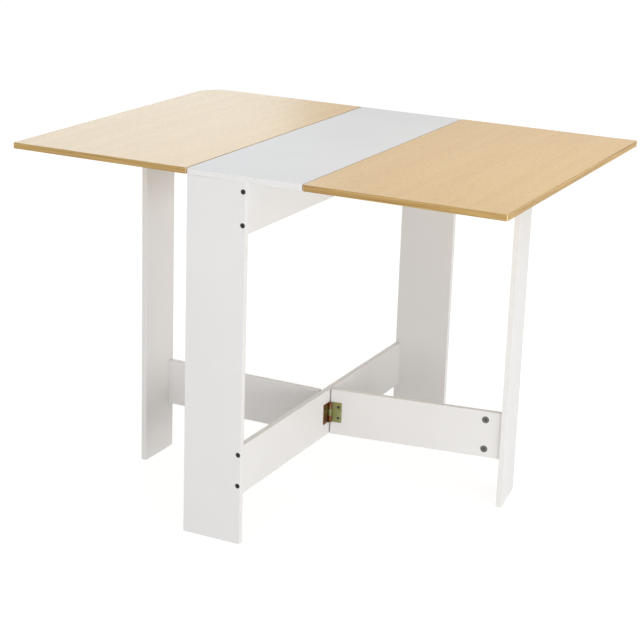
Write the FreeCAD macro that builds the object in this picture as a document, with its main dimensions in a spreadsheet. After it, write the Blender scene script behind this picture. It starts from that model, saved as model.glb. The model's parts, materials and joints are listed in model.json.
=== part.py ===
import FreeCAD, Part
import os
import re

# Butterfly folding table: a narrow centre frame, two drop leaves and two gate legs that carry them.
# Millimetres. +X runs along the leaves, +Y to the back, +Z up, origin on the floor under the centre.

doc = FreeCAD.newDocument("ButterflyTable")
sheet = doc.addObject("Spreadsheet::Sheet", "Sizes")

SIZES = {
    # whole table
    "table_length": 1030,
    "table_width": 760,
    "table_height": 735,
    "board": 12,
    "centre_length": 240,
    "seam_gap": 2,
    "band": 0.8,
    "leaf_corner_radius": 55,
    # frame boards
    "rail_height": 100,
    "stretcher_lift": 104,
    # gates
    "gate_edge_gap": 3.3,
    "gate_leg_width": 109,
    "gate_top_gap": 0.5,
    "rail_end_gap": 4,
    "right_gate_open_angle": 8,
    "left_gate_open_angle": 0,
    # gate hinges
    "gate_hinge_height": 44,
    "gate_hinge_reach": 24,
    "gate_hinge_sheet": 1.5,
    "gate_knuckle_radius": 4,
    "gate_pin_radius": 2,
    "gate_screw_reach": 17,
    "gate_screw_spread": 12,
    # leaf hinges
    "leaf_hinge_height": 50,
    "leaf_hinge_reach": 22,
    "leaf_hinge_sheet": 1.2,
    "leaf_knuckle_radius": 3,
    "leaf_pin_radius": 1.5,
    "leaf_screw_reach": 15,
    "leaf_screw_spread": 15,
    "leaf_hinge_inset": 130,
    # clearances
    "pin_fit": 0.05,
    "hole_fit": 0.1,
    "knuckle_gap": 0.4,
    "pin_offset_gap": 0.3,
    # hinge screws
    "hinge_screw_head_radius": 3,
    "hinge_screw_radius": 1.4,
    "hinge_screw_bite": 8,
    # frame screws
    "frame_screw_head_radius": 5,
    "frame_screw_head": 2.5,
    "frame_screw_neck_radius": 3.5,
    "frame_screw_radius": 2.5,
    "frame_screw_length": 50,
    "frame_screw_socket": 2.3,
    "frame_screw_socket_depth": 2,
    "fastener_pitch": 64,
    # cams, cam bolts and dowels
    "cam_radius": 7.5,
    "cam_depth": 9.5,
    "cam_setback": 34,
    "cam_slot": 1.8,
    "cam_slot_reach": 4,
    "cam_slot_depth": 1.5,
    "bolt_radius": 3,
    "bolt_bite": 8,
    "top_cam_inset": 160,
    "dowel_radius": 3,
    "dowel_length": 26,
    "dowel_bite": 8,
    "leg_dowel_place": 36,
    "leg_dowel_pitch": 50,
    "overrun": 2,
}

for row, (alias, value) in enumerate(SIZES.items(), start=1):
    sheet.set(f"A{row}", alias)
    sheet.set(f"B{row}", str(value))
    sheet.setAlias(f"B{row}", alias)
doc.recompute()

# Worked-out places, as expressions on the sheet
HALF_LENGTH = "(table_length / 2)"
HALF_WIDTH = "(table_width / 2)"
HALF_CENTRE = "(centre_length / 2)"
HALF_BOARD = "(board / 2)"
UNDERSIDE = "(table_height - board)"
LEAF_START = f"({HALF_CENTRE} + seam_gap)"
APRON_BOTTOM = f"({UNDERSIDE} - rail_height)"
STRETCHER_TOP = "(stretcher_lift + rail_height)"
RAIL_MIDDLE = "(stretcher_lift + rail_height / 2)"
APRON_MIDDLE = f"({UNDERSIDE} - rail_height / 2)"
LEG_INNER = f"({HALF_WIDTH} - board)"
HALF_PITCH = "(fastener_pitch / 2)"
# A hinge's pin stands this far off the faces that its two plates lie on
GATE_PIN_OFFSET = "(gate_knuckle_radius + pin_offset_gap)"
LEAF_PIN_OFFSET = "(leaf_knuckle_radius + pin_offset_gap)"
GATE_PIN_X = f"({HALF_BOARD} + {GATE_PIN_OFFSET})"
LEAF_PIN_X = f"({HALF_CENTRE} + seam_gap / 2)"
LEAF_PIN_Z = f"({UNDERSIDE} - {LEAF_PIN_OFFSET})"

RIGHT_ANGLE = 90
HALF_ROUND = 180
X_AXIS = FreeCAD.Vector(1, 0, 0)
Y_AXIS = FreeCAD.Vector(0, 1, 0)
Z_AXIS = FreeCAD.Vector(0, 0, 1)
TURNS = {
    "x": FreeCAD.Rotation(Y_AXIS, RIGHT_ANGLE),
    "-x": FreeCAD.Rotation(Y_AXIS, -RIGHT_ANGLE),
    "y": FreeCAD.Rotation(X_AXIS, -RIGHT_ANGLE),
    "-y": FreeCAD.Rotation(X_AXIS, RIGHT_ANGLE),
    "z": FreeCAD.Rotation(),
    "-z": FreeCAD.Rotation(X_AXIS, HALF_ROUND),
}
nodes = []


def cell(text):
    """Points each size named in an expression at its cell of the sheet."""
    return re.sub(r"[a-z_]{3,}", lambda found: "Sizes." + found.group(), text)


def place(part, x="0", y="0", z="0", turn=None):
    """Binds a part's place to the sheet, with a fixed turn."""
    part.Placement = FreeCAD.Placement(FreeCAD.Vector(), turn or FreeCAD.Rotation())
    for axis, text in zip("xyz", (x, y, z)):
        part.setExpression(f"Placement.Base.{axis}", cell(text))
    return part


def block(name, x, y, z):
    """A rectangular board between two planes on each axis."""
    part = doc.addObject("Part::Box", name)
    for side, (low, high) in zip(("Length", "Width", "Height"), (x, y, z)):
        part.setExpression(side, cell(f"({high}) - ({low})"))
    return place(part, x[0], y[0], z[0])


def rod(name, radius, start, direction, length):
    """A round bar from a start point along an axis."""
    part = doc.addObject("Part::Cylinder", name)
    part.setExpression("Radius", cell(radius))
    part.setExpression("Height", cell(length))
    return place(part, *start, turn=TURNS[direction])


def cone(name, start_radius, end_radius, start, direction, length):
    """A countersunk head from a start point along an axis."""
    part = doc.addObject("Part::Cone", name)
    part.setExpression("Radius1", cell(start_radius))
    part.setExpression("Radius2", cell(end_radius))
    part.setExpression("Height", cell(length))
    return place(part, *start, turn=TURNS[direction])


def fuse(name, parts):
    """Several touching solids made one."""
    whole = doc.addObject("Part::MultiFuse", name)
    whole.Shapes = parts
    return whole


def cut(name, base, tools):
    """A solid with other solids taken out of it."""
    if len(tools) > 1:
        tool = doc.addObject("Part::Compound", name + "_cuts")
        tool.Links = tools
    else:
        tool = tools[0]
    whole = doc.addObject("Part::Cut", name)
    whole.Base = base
    whole.Tool = tool
    return whole


def group(name, parts):
    """Separate solids of one kind, kept together."""
    whole = doc.addObject("Part::Compound", name)
    whole.Links = parts
    return whole


def node(part, label):
    """Names a finished piece; its label names its file."""
    part.Label = label
    nodes.append(part)
    return part


def rounded_block(name, x, y, z, radius):
    """A board whose left far corner is rounded."""
    waste = block(name + "_corner", (x[0], f"{x[0]} + {radius}"), (f"{y[1]} - {radius}", y[1]), z)
    centre = (f"{x[0]} + {radius}", f"{y[1]} - {radius}", z[0])
    arc = rod(name + "_arc", radius, centre, "z", f"{z[1]} - {z[0]}")
    return cut(name, block(name + "_blank", x, y, z), [cut(name + "_waste", waste, [arc])])


def inset(span, amount):
    """A span drawn in at both ends."""
    return (f"{span[0]} + {amount}", f"{span[1]} - {amount}")


def top_board(label, x, holes, rounded=False):
    """One board of the table top, with its edge band all round."""
    y = (f"-{HALF_WIDTH}", HALF_WIDTH)
    z = (UNDERSIDE, "table_height")
    if rounded:
        outer = rounded_block(label + "_outer", x, y, z, "leaf_corner_radius")
        core_radius = "(leaf_corner_radius - band)"
        hollow = rounded_block(label + "_hollow", inset(x, "band"), inset(y, "band"), z, core_radius)
        core = rounded_block(label + "_core", inset(x, "band"), inset(y, "band"), z, core_radius)
    else:
        outer = block(label + "_outer", x, y, z)
        hollow = block(label + "_hollow", inset(x, "band"), inset(y, "band"), z)
        core = block(label + "_core", inset(x, "band"), inset(y, "band"), z)
    node(cut(label + "_band_ring", outer, [hollow]), label + "_edge_band")
    node(cut(label + "_board", core, holes), label)


# Drilled holes for fasteners


def drilled(name, radius, start, direction, depth):
    """A hole a little wider and deeper than what goes into it."""
    return rod(name, f"{radius} + hole_fit", start, direction, f"{depth} + hole_fit")


def screw_hole(name, start, direction):
    """The pilot hole of a hinge screw."""
    return drilled(name, "hinge_screw_radius", start, direction, "hinge_screw_bite")


def underside_screw_holes(name, place_x):
    """Pilot holes for the leaf hinges in the underside of a board of the top."""
    return [
        screw_hole(f"{name}_{index}", (place_x, place_y, UNDERSIDE), "z")
        for index, place_y in enumerate(LEAF_SCREW_PLACES)
    ]


LEAF_HINGE_PLACE = f"({HALF_WIDTH} - leaf_hinge_inset)"
LEAF_HINGE_PLACES = {"front": f"(-{LEAF_HINGE_PLACE})", "back": LEAF_HINGE_PLACE}
LEAF_SCREW_PLACES = [
    f"{middle} {sign} leaf_screw_spread" for middle in LEAF_HINGE_PLACES.values() for sign in "-+"
]
TOP_CAM_PLACE = f"({HALF_WIDTH} - top_cam_inset)"
TOP_CAM_PLACES = [f"(-{TOP_CAM_PLACE})", "0", TOP_CAM_PLACE]
LEG_DOWEL_PLACES = [
    "(leg_dowel_place)",
    "(leg_dowel_place + leg_dowel_pitch)",
]
DOWEL_MIDDLE = f"({HALF_WIDTH} - {HALF_BOARD})"


def leg_dowel_points():
    """Where the dowels between the two fixed legs and the centre board stand."""
    front = [(f"-{reach}", f"-{DOWEL_MIDDLE}") for reach in LEG_DOWEL_PLACES]
    back = [(reach, DOWEL_MIDDLE) for reach in LEG_DOWEL_PLACES]
    return front + back


def centre_top():
    """The fixed middle board of the top."""
    holes = []
    for side, sign in (("left", "-"), ("right", "")):
        place_x = f"{sign}({LEAF_PIN_X} - leaf_screw_reach)"
        holes += underside_screw_holes(f"centre_{side}_hole", place_x)
    for index, place_y in enumerate(TOP_CAM_PLACES):
        start = ("0", place_y, UNDERSIDE)
        holes.append(drilled(f"centre_bolt_hole_{index}", "bolt_radius", start, "z", "bolt_bite"))
    for index, (x, y) in enumerate(leg_dowel_points()):
        start = (x, y, UNDERSIDE)
        holes.append(drilled(f"centre_dowel_hole_{index}", "dowel_radius", start, "z", "dowel_bite"))
    top_board("centre_top", (f"-{HALF_CENTRE}", HALF_CENTRE), holes)


def leaves():
    """The two drop leaves."""
    reach = f"({LEAF_PIN_X} + leaf_screw_reach)"
    left_holes = underside_screw_holes("left_leaf_hole", f"-{reach}")
    top_board("left_leaf", (f"-{HALF_LENGTH}", f"-{LEAF_START}"), left_holes, rounded=True)
    right_holes = underside_screw_holes("right_leaf_hole", reach)
    top_board("right_leaf", (LEAF_START, HALF_LENGTH), right_holes)


FRAME_SCREW_HEIGHTS = [
    f"{APRON_MIDDLE} + {HALF_PITCH}",
    f"{APRON_MIDDLE} - {HALF_PITCH}",
    f"{RAIL_MIDDLE} + {HALF_PITCH}",
    f"{RAIL_MIDDLE} - {HALF_PITCH}",
]


def frame_leg(label, x, outer, direction, sign):
    """A fixed end leg, drilled for its screws and dowels."""
    y = tuple(f"{sign}{plane}" for plane in (LEG_INNER, HALF_WIDTH))
    if sign == "-":
        y = y[::-1]
    holes = []
    for index, height in enumerate(FRAME_SCREW_HEIGHTS):
        start = ("0", outer, height)
        sink = (f"{label}_sink_{index}", "frame_screw_head_radius", start, direction, "frame_screw_head")
        bore = (f"{label}_bore_{index}", "frame_screw_neck_radius", start, direction, "board")
        holes += [drilled(*sink), drilled(*bore)]
    for index, (dowel_x, dowel_y) in enumerate(leg_dowel_points()):
        if dowel_y.startswith("-") == (sign == "-"):
            start = (dowel_x, dowel_y, UNDERSIDE)
            depth = "dowel_length - dowel_bite"
            holes.append(drilled(f"{label}_dowel_hole_{index}", "dowel_radius", start, "-z", depth))
    blank = block(label + "_blank", x, y, ("0", UNDERSIDE))
    node(cut(label + "_board", blank, holes), label)


def frame_screws(label, outer, direction, sign):
    """Screws through a fixed leg into the ends of the two long rails."""
    screws = []
    for index, height in enumerate(FRAME_SCREW_HEIGHTS):
        start = ("0", outer, height)
        neck_end = ("0", f"{sign}{LEG_INNER}", height)
        head_size = ("frame_screw_head_radius", start, direction, "frame_screw_head")
        neck_size = ("frame_screw_neck_radius", start, direction, "board")
        shank_size = ("frame_screw_radius", neck_end, direction, "frame_screw_length - board")
        head = rod(f"{label}_head_{index}", *head_size)
        neck = rod(f"{label}_neck_{index}", *neck_size)
        shank = rod(f"{label}_shank_{index}", *shank_size)
        socket = doc.addObject("Part::Prism", f"{label}_socket_{index}")
        socket.Polygon = 6
        socket.setExpression("Circumradius", cell("frame_screw_socket"))
        socket.setExpression("Height", cell("frame_screw_socket_depth"))
        place(socket, *start, turn=TURNS[direction])
        whole = fuse(f"{label}_solid_{index}", [head, neck, shank])
        screws.append(cut(f"{label}_screw_{index}", whole, [socket]))
    node(group(label + "_set", screws), label)


def rail_end_holes(name, heights):
    """Holes in both ends of a long rail for the frame screws."""
    depth = "frame_screw_length - board"
    holes = []
    for index, height in enumerate(heights):
        for end, plane, direction in (("front", f"-{LEG_INNER}", "y"), ("back", LEG_INNER, "-y")):
            start = ("0", plane, height)
            holes.append(drilled(f"{name}_{end}_{index}", "frame_screw_radius", start, direction, depth))
    return holes


CAM_HEIGHT = f"({UNDERSIDE} - cam_setback)"
BOLT_LENGTH = "(bolt_bite + cam_setback - bolt_radius)"


def long_rails():
    """The apron under the top and the low stretcher between the fixed legs."""
    x = (f"-{HALF_BOARD}", HALF_BOARD)
    y = (f"-{LEG_INNER}", LEG_INNER)
    holes = rail_end_holes("apron_hole", FRAME_SCREW_HEIGHTS[:2])
    for index, place_y in enumerate(TOP_CAM_PLACES):
        face = (f"-{HALF_BOARD}", place_y, CAM_HEIGHT)
        holes.append(drilled(f"apron_cam_hole_{index}", "cam_radius", face, "x", "cam_depth"))
        top = ("0", place_y, UNDERSIDE)
        holes.append(drilled(f"apron_bolt_hole_{index}", "bolt_radius", top, "-z", "cam_setback"))
    blank = block("apron_blank", x, y, (APRON_BOTTOM, UNDERSIDE))
    node(cut("apron_board", blank, holes), "apron_rail")

    holes = rail_end_holes("stretcher_hole", FRAME_SCREW_HEIGHTS[2:])
    for side, sign, direction in (("right", "", "-x"), ("left", "-", "x")):
        flip = "-" if sign == "" else ""
        for index, offset in enumerate("-+"):
            start = (
                f"{sign}{HALF_BOARD}",
                f"{flip}gate_screw_reach",
                f"{RAIL_MIDDLE} {offset} gate_screw_spread",
            )
            holes.append(screw_hole(f"stretcher_{side}_hinge_hole_{index}", start, direction))
    blank = block("stretcher_blank", x, y, ("stretcher_lift", STRETCHER_TOP))
    node(cut("stretcher_board", blank, holes), "stretcher_rail")


# A cam in the apron faces -X with its bolt above it, and one in a gate rail faces -Y with its bolt at +X
APRON_CAM_TURN = FreeCAD.Rotation(X_AXIS + Z_AXIS, HALF_ROUND)
GATE_CAM_TURN = TURNS["y"]


def cam(name, face, turn):
    """A cam with a cross slot, drawn from its face into +Z with the way in for its bolt along +X."""
    drum = rod(name + "_drum", "cam_radius", ("0", "0", "0"), "z", "cam_depth")
    way = rod(name + "_way", "bolt_radius + hole_fit", ("0", "0", HALF_BOARD), "x", "cam_radius")
    reach = ("-cam_slot_reach", "cam_slot_reach")
    across = ("-cam_slot / 2", "cam_slot / 2")
    depth = ("-overrun", "cam_slot_depth")
    slots = [block(name + "_slot", reach, across, depth), block(name + "_cross", across, reach, depth)]
    return place(cut(name, drum, [way] + slots), *face, turn=turn)


def top_fasteners():
    """Cams, bolts and dowels that hold the centre board down."""
    cams = []
    bolts = []
    for index, place_y in enumerate(TOP_CAM_PLACES):
        face = (f"-{HALF_BOARD}", place_y, CAM_HEIGHT)
        cams.append(cam(f"top_cam_{index}", face, APRON_CAM_TURN))
        start = ("0", place_y, f"{UNDERSIDE} + bolt_bite")
        bolts.append(rod(f"top_bolt_{index}", "bolt_radius", start, "-z", BOLT_LENGTH))
    node(group("top_cam_set", cams), "top_cams")
    node(group("top_bolt_set", bolts), "top_cam_bolts")
    dowels = []
    for index, (x, y) in enumerate(leg_dowel_points()):
        start = (x, y, f"{UNDERSIDE} + dowel_bite")
        dowels.append(rod(f"leg_dowel_{index}", "dowel_radius", start, "-z", "dowel_length"))
    node(group("leg_dowel_set", dowels), "leg_dowels")


class HingeKind:
    """The names of the sizes that one kind of butt hinge is made from."""

    def __init__(self, word):
        self.height = f"{word}_hinge_height"
        self.reach = f"{word}_hinge_reach"
        self.sheet = f"{word}_hinge_sheet"
        self.knuckle = f"{word}_knuckle_radius"
        self.pin = f"{word}_pin_radius"
        self.screw_reach = f"{word}_screw_reach"
        self.screw_spread = f"{word}_screw_spread"
        self.offset = f"({self.knuckle} + pin_offset_gap)"


GATE_HINGE = HingeKind("gate")
LEAF_HINGE = HingeKind("leaf")


def hinge_plate(name, kind, middle_knuckle, side):
    """One plate of a butt hinge, made about its pin, which stands along Z with its middle at the origin.

    The plate reaches along +X. Its back lies off the pin on the +Y side, or on -Y where side is "-".
    One plate of a hinge has the middle knuckle and the other has the two end knuckles.
    """
    half = f"({kind.height} / 2)"
    sixth = f"({kind.height} / 6)"
    near = f"({kind.offset} - {kind.sheet})"
    back = (near, kind.offset) if side == "" else (f"-{kind.offset}", f"-{near}")
    whole = [
        block(name + "_sheet", ("0", kind.reach), back, (f"-{half}", half)),
        rod(name + "_barrel", kind.knuckle, ("0", "0", f"-{half}"), "z", kind.height),
    ]
    clear = f"({kind.knuckle} + knuckle_gap)"
    across = (f"-{clear}", clear)
    if middle_knuckle:
        low = f"-{half} - overrun"
        high = f"{half} + overrun"
        spans = [(low, f"-{sixth} + knuckle_gap / 2"), (f"{sixth} - knuckle_gap / 2", high)]
    else:
        spans = [(f"-{sixth} - knuckle_gap / 2", f"{sixth} + knuckle_gap / 2")]
    tools = [block(f"{name}_notch_{index}", across, across, span) for index, span in enumerate(spans)]
    bore_start = ("0", "0", f"-{half} - overrun")
    bore_length = f"{kind.height} + 2 * overrun"
    tools.append(rod(name + "_bore", f"{kind.pin} + pin_fit", bore_start, "z", bore_length))
    direction = "y" if side == "" else "-y"
    for index, offset in enumerate("-+"):
        start = (kind.screw_reach, f"{side}{near}", f"{offset}{kind.screw_spread}")
        head = ("hinge_screw_head_radius + hole_fit", "hinge_screw_radius + hole_fit")
        tools.append(cone(f"{name}_sink_{index}", *head, start, direction, kind.sheet))
    return cut(name, fuse(name + "_blank", whole), tools)


def hinge_screws(name, kind, side):
    """The two countersunk screws of one plate, in the plate's own frame."""
    near = f"({kind.offset} - {kind.sheet})"
    direction = "y" if side == "" else "-y"
    screws = []
    for index, offset in enumerate("-+"):
        height = f"{offset}{kind.screw_spread}"
        start = (kind.screw_reach, f"{side}{near}", height)
        back = (kind.screw_reach, f"{side}{kind.offset}", height)
        radii = ("hinge_screw_head_radius", "hinge_screw_radius")
        head = cone(f"{name}_head_{index}", *radii, start, direction, kind.sheet)
        shank = rod(f"{name}_shank_{index}", "hinge_screw_radius", back, direction, "hinge_screw_bite")
        screws.append(fuse(f"{name}_{index}", [head, shank]))
    return group(name, screws)


def hinge_pin(name, kind):
    """A plain pin as long as its hinge."""
    return rod(name, kind.pin, ("0", "0", f"-{kind.height} / 2"), "z", kind.height)


UPRIGHT_TURN = FreeCAD.Rotation(X_AXIS, RIGHT_ANGLE)
HALF_TURN = FreeCAD.Rotation(Z_AXIS, HALF_ROUND)
QUARTER_BACK = FreeCAD.Rotation(Z_AXIS, -RIGHT_ANGLE)
QUARTER_ON = FreeCAD.Rotation(Z_AXIS, RIGHT_ANGLE)


def leaf_hinges():
    """Two butt hinges under each seam: pins along Y, plates on the undersides."""
    centre_screws_made = []
    for side, sign, turn in (("left", "-", HALF_TURN), ("right", "", FreeCAD.Rotation())):
        leaf_turn = turn.multiply(UPRIGHT_TURN)
        centre_turn = turn.multiply(UPRIGHT_TURN).multiply(HALF_TURN)
        leaf_screws_made = []
        for end, place_y in LEAF_HINGE_PLACES.items():
            where = (f"{sign}{LEAF_PIN_X}", place_y, LEAF_PIN_Z)
            name = f"{side}_leaf_{end}_hinge"
            leaf_plate = hinge_plate(name + "_leaf_side", LEAF_HINGE, True, "")
            node(place(leaf_plate, *where, turn=leaf_turn), name + "_leaf_plate")
            centre_plate = hinge_plate(name + "_centre_side", LEAF_HINGE, False, "-")
            node(place(centre_plate, *where, turn=centre_turn), name + "_centre_plate")
            pin = group(name + "_pin_set", [hinge_pin(name + "_pin_rod", LEAF_HINGE)])
            node(place(pin, *where, turn=leaf_turn), name + "_pin")
            leaf_screws = hinge_screws(name + "_leaf_screws", LEAF_HINGE, "")
            leaf_screws_made.append(place(leaf_screws, *where, turn=leaf_turn))
            centre_screws = hinge_screws(name + "_centre_screws", LEAF_HINGE, "-")
            centre_screws_made.append(place(centre_screws, *where, turn=centre_turn))
        node(group(f"{side}_leaf_screw_set", leaf_screws_made), f"{side}_leaf_hinge_screws")
    node(group("centre_screw_set", centre_screws_made), "centre_top_hinge_screws")


def gate_hinge_halves():
    """The fixed plates, screws and pins of the two gate hinges, on the stretcher."""
    screws = []
    for side, sign, turn in (("left", "-", QUARTER_ON), ("right", "", QUARTER_BACK)):
        where = (f"{sign}{GATE_PIN_X}", "0", RAIL_MIDDLE)
        name = f"{side}_gate_hinge"
        plate = hinge_plate(name + "_fixed_side", GATE_HINGE, False, "-")
        node(place(plate, *where, turn=turn), name + "_fixed_plate")
        pin = group(name + "_pin_set", [hinge_pin(name + "_pin_rod", GATE_HINGE)])
        node(place(pin, *where), name + "_pin")
        screws.append(place(hinge_screws(name + "_fixed_screws", GATE_HINGE, "-"), *where, turn=turn))
    node(group("stretcher_screw_set", screws), "stretcher_hinge_screws")


# A gate is drawn about its own pin, with its rail along +X, then turned to its side of the table
GATE_RADIUS = f"{HALF_WIDTH}"
GATE_LEG_INNER = f"({GATE_RADIUS} - board)"
GATE_LEG_EDGE = f"({HALF_BOARD} + gate_edge_gap - {GATE_PIN_X})"
GATE_RAIL_FRONT = GATE_PIN_OFFSET
GATE_RAIL_MIDDLE = f"({GATE_PIN_OFFSET} + {HALF_BOARD})"
GATE_CAM_HEIGHTS = [f"({RAIL_MIDDLE} - {HALF_PITCH})", f"({RAIL_MIDDLE} + {HALF_PITCH})"]


def gate(side, half_turn, open_angle):
    """One gate: a low rail on the hinge with a full-height leg across its outer end."""

    def settle(part, label):
        """Turns a finished gate piece about the gate's pin."""
        sign = "-" if half_turn else ""
        part.setExpression("Placement.Base.x", cell(f"{sign}{GATE_PIN_X}"))
        part.setExpression("Placement.Rotation.Angle", cell(f"{half_turn} + {open_angle}"))
        return node(part, label)

    word = f"{side}_gate"
    rail_x = (f"rail_end_gap - {GATE_PIN_OFFSET}", GATE_LEG_INNER)
    rail_y = (GATE_RAIL_FRONT, f"{GATE_RAIL_FRONT} + board")
    leg_y = (GATE_LEG_EDGE, f"{GATE_LEG_EDGE} + gate_leg_width")
    rail_holes = []
    leg_holes = []
    cams = []
    bolts = []
    for index, height in enumerate(GATE_CAM_HEIGHTS):
        face = (f"{GATE_LEG_INNER} - cam_setback", GATE_RAIL_FRONT, height)
        joint = (GATE_LEG_INNER, GATE_RAIL_MIDDLE, height)
        rail_holes.append(drilled(f"{word}_cam_hole_{index}", "cam_radius", face, "y", "cam_depth"))
        rail_holes.append(drilled(f"{word}_bolt_way_{index}", "bolt_radius", joint, "-x", "cam_setback"))
        leg_holes.append(drilled(f"{word}_bolt_hole_{index}", "bolt_radius", joint, "x", "bolt_bite"))
        cams.append(cam(f"{word}_cam_{index}", face, GATE_CAM_TURN))
        tip = (f"{GATE_LEG_INNER} + bolt_bite", GATE_RAIL_MIDDLE, height)
        bolts.append(rod(f"{word}_bolt_{index}", "bolt_radius", tip, "-x", BOLT_LENGTH))
    dowel_start = (f"{GATE_LEG_INNER} + dowel_bite", GATE_RAIL_MIDDLE, RAIL_MIDDLE)
    dowel_joint = (GATE_LEG_INNER, GATE_RAIL_MIDDLE, RAIL_MIDDLE)
    dowel_depth = "dowel_length - dowel_bite"
    rail_holes.append(drilled(f"{word}_dowel_way", "dowel_radius", dowel_joint, "-x", dowel_depth))
    leg_holes.append(drilled(f"{word}_dowel_hole", "dowel_radius", dowel_joint, "x", "dowel_bite"))
    for index, offset in enumerate("-+"):
        start = ("gate_screw_reach", GATE_RAIL_FRONT, f"{RAIL_MIDDLE} {offset} gate_screw_spread")
        rail_holes.append(screw_hole(f"{word}_hinge_hole_{index}", start, "y"))

    rail = block(word + "_rail_blank", rail_x, rail_y, ("stretcher_lift", STRETCHER_TOP))
    settle(cut(word + "_rail_board", rail, rail_holes), word + "_rail")
    leg_x = (GATE_LEG_INNER, GATE_RADIUS)
    leg = block(word + "_leg_blank", leg_x, leg_y, ("0", f"{UNDERSIDE} - gate_top_gap"))
    settle(cut(word + "_leg_board", leg, leg_holes), word + "_leg")
    settle(group(word + "_cam_set", cams), word + "_cams")
    settle(group(word + "_bolt_set", bolts), word + "_cam_bolts")
    dowel = rod(word + "_dowel_rod", "dowel_radius", dowel_start, "-x", "dowel_length")
    settle(group(word + "_dowel_set", [dowel]), word + "_dowel")
    plate = place(hinge_plate(word + "_moving_side", GATE_HINGE, True, ""), z=RAIL_MIDDLE)
    settle(group(word + "_moving_set", [plate]), word + "_hinge_moving_plate")
    screws = place(hinge_screws(word + "_moving_screws", GATE_HINGE, ""), z=RAIL_MIDDLE)
    settle(group(word + "_moving_screw_set", [screws]), word + "_hinge_screws")


def check_model():
    """Stops if any object failed or any piece is empty or broken."""
    for part in doc.Objects:
        if "Invalid" in part.State or "Error" in part.State:
            raise RuntimeError(f"{part.Label} failed: {part.State}")
    for part in nodes:
        if part.Shape.isNull() or not part.Shape.isValid() or not part.Shape.Solids:
            raise RuntimeError(f"{part.Label} has no valid shape")


def write_parts():
    """Writes each piece to its own file."""
    os.makedirs("parts", exist_ok=True)
    for part in nodes:
        part.Shape.exportStep(os.path.join("parts", part.Label + ".step"))
    print(len(nodes), "pieces written")


centre_top()
leaves()
frame_leg("front_leg", (f"-{HALF_CENTRE}", HALF_BOARD), f"-{HALF_WIDTH}", "y", "-")
frame_leg("rear_leg", (f"-{HALF_BOARD}", HALF_CENTRE), HALF_WIDTH, "-y", "")
frame_screws("front_leg_screws", f"-{HALF_WIDTH}", "y", "-")
frame_screws("rear_leg_screws", HALF_WIDTH, "-y", "")
long_rails()
top_fasteners()
leaf_hinges()
gate_hinge_halves()
gate("right", 0, "right_gate_open_angle")
gate("left", HALF_ROUND, "left_gate_open_angle")
doc.recompute()
check_model()
write_parts()
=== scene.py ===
import json
import math

import bmesh
import bpy
from bpy.props import FloatProperty, FloatVectorProperty, IntProperty, PointerProperty
from mathutils import Matrix, Vector

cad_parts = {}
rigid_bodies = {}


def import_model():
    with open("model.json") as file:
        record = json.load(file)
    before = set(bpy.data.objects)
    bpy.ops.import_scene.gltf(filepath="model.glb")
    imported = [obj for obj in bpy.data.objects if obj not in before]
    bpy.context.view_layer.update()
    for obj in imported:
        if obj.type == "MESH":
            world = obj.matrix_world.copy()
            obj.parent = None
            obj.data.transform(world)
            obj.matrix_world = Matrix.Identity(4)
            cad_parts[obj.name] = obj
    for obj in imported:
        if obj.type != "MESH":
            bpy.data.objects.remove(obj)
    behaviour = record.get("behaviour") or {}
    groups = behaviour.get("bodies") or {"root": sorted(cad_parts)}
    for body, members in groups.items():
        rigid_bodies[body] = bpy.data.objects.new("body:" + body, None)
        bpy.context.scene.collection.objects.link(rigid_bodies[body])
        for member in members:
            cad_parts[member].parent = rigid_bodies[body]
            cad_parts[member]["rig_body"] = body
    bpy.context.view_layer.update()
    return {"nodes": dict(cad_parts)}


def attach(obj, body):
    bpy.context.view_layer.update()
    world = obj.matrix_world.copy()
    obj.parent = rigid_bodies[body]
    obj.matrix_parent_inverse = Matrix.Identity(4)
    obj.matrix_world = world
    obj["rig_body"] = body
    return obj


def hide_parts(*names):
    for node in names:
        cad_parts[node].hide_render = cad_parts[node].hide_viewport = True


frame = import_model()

bl_info = {
    "name": "Butterfly folding table",
    "version": (1, 0, 0),
    "blender": (4, 5, 0),
    "location": "View3D > Sidebar > Table",
    "description": "Dresses a folding table with two leaves and two gates in its finishes",
    "category": "Object",
}

SIDES = ("left", "right")
MILLIMETRE = 0.001
WELD = 1e-6
FLAT_JOIN = math.radians(0.5)
SHARP_CORNER = math.radians(50)
SMOOTH_LIMIT = math.radians(20)

# Cosines above which two directions count as one, and above which a face looks up or down
ALIGNED = 0.99
LEVEL = 0.5

# Steps and fullness of an eased edge
EASE_STEPS = 2
EASE_FULLNESS = 0.5

# Middle range of a noise, where nearly all of its values lie
NOISE_LOW = 0.3
NOISE_HIGH = 0.7

# Sockets that share their name with others on the node go by number
MIX_SHARE, MIX_FIRST, MIX_SECOND, MIX_RESULT = 0, 6, 7, 2
RANDOM_HIGHEST, RANDOM_RESULT = 3, 1

# Cross recess: half an arm's width as a share of its length, and the least slope to divide by
CROSS_ARM = 0.24
CROSS_LEAST_SLOPE = 0.01

# Dowel: number of its flutes, and their depth as a share of its radius
FLUTES = 12
FLUTE_DEPTH = 0.08

# Seeds for the turn at which each kind of fastener was left
SOCKET_SCREW_SEED = 11
HINGE_SCREW_SEED = 23
CAM_SEED = 31
CAM_BOLT_SEED = 37
LEG_DOWEL_SEED = 41
GATE_DOWEL_SEED = 43

# Floor: half its width, its paint, and what the camera sees of it
FLOOR_REACH = 30.0
FLOOR_PAINT = (0.92, 0.92, 0.92)
FLOOR_SHOWN = (0.45, 0.45, 0.45)
FLOOR_GLOW = 0.74

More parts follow.
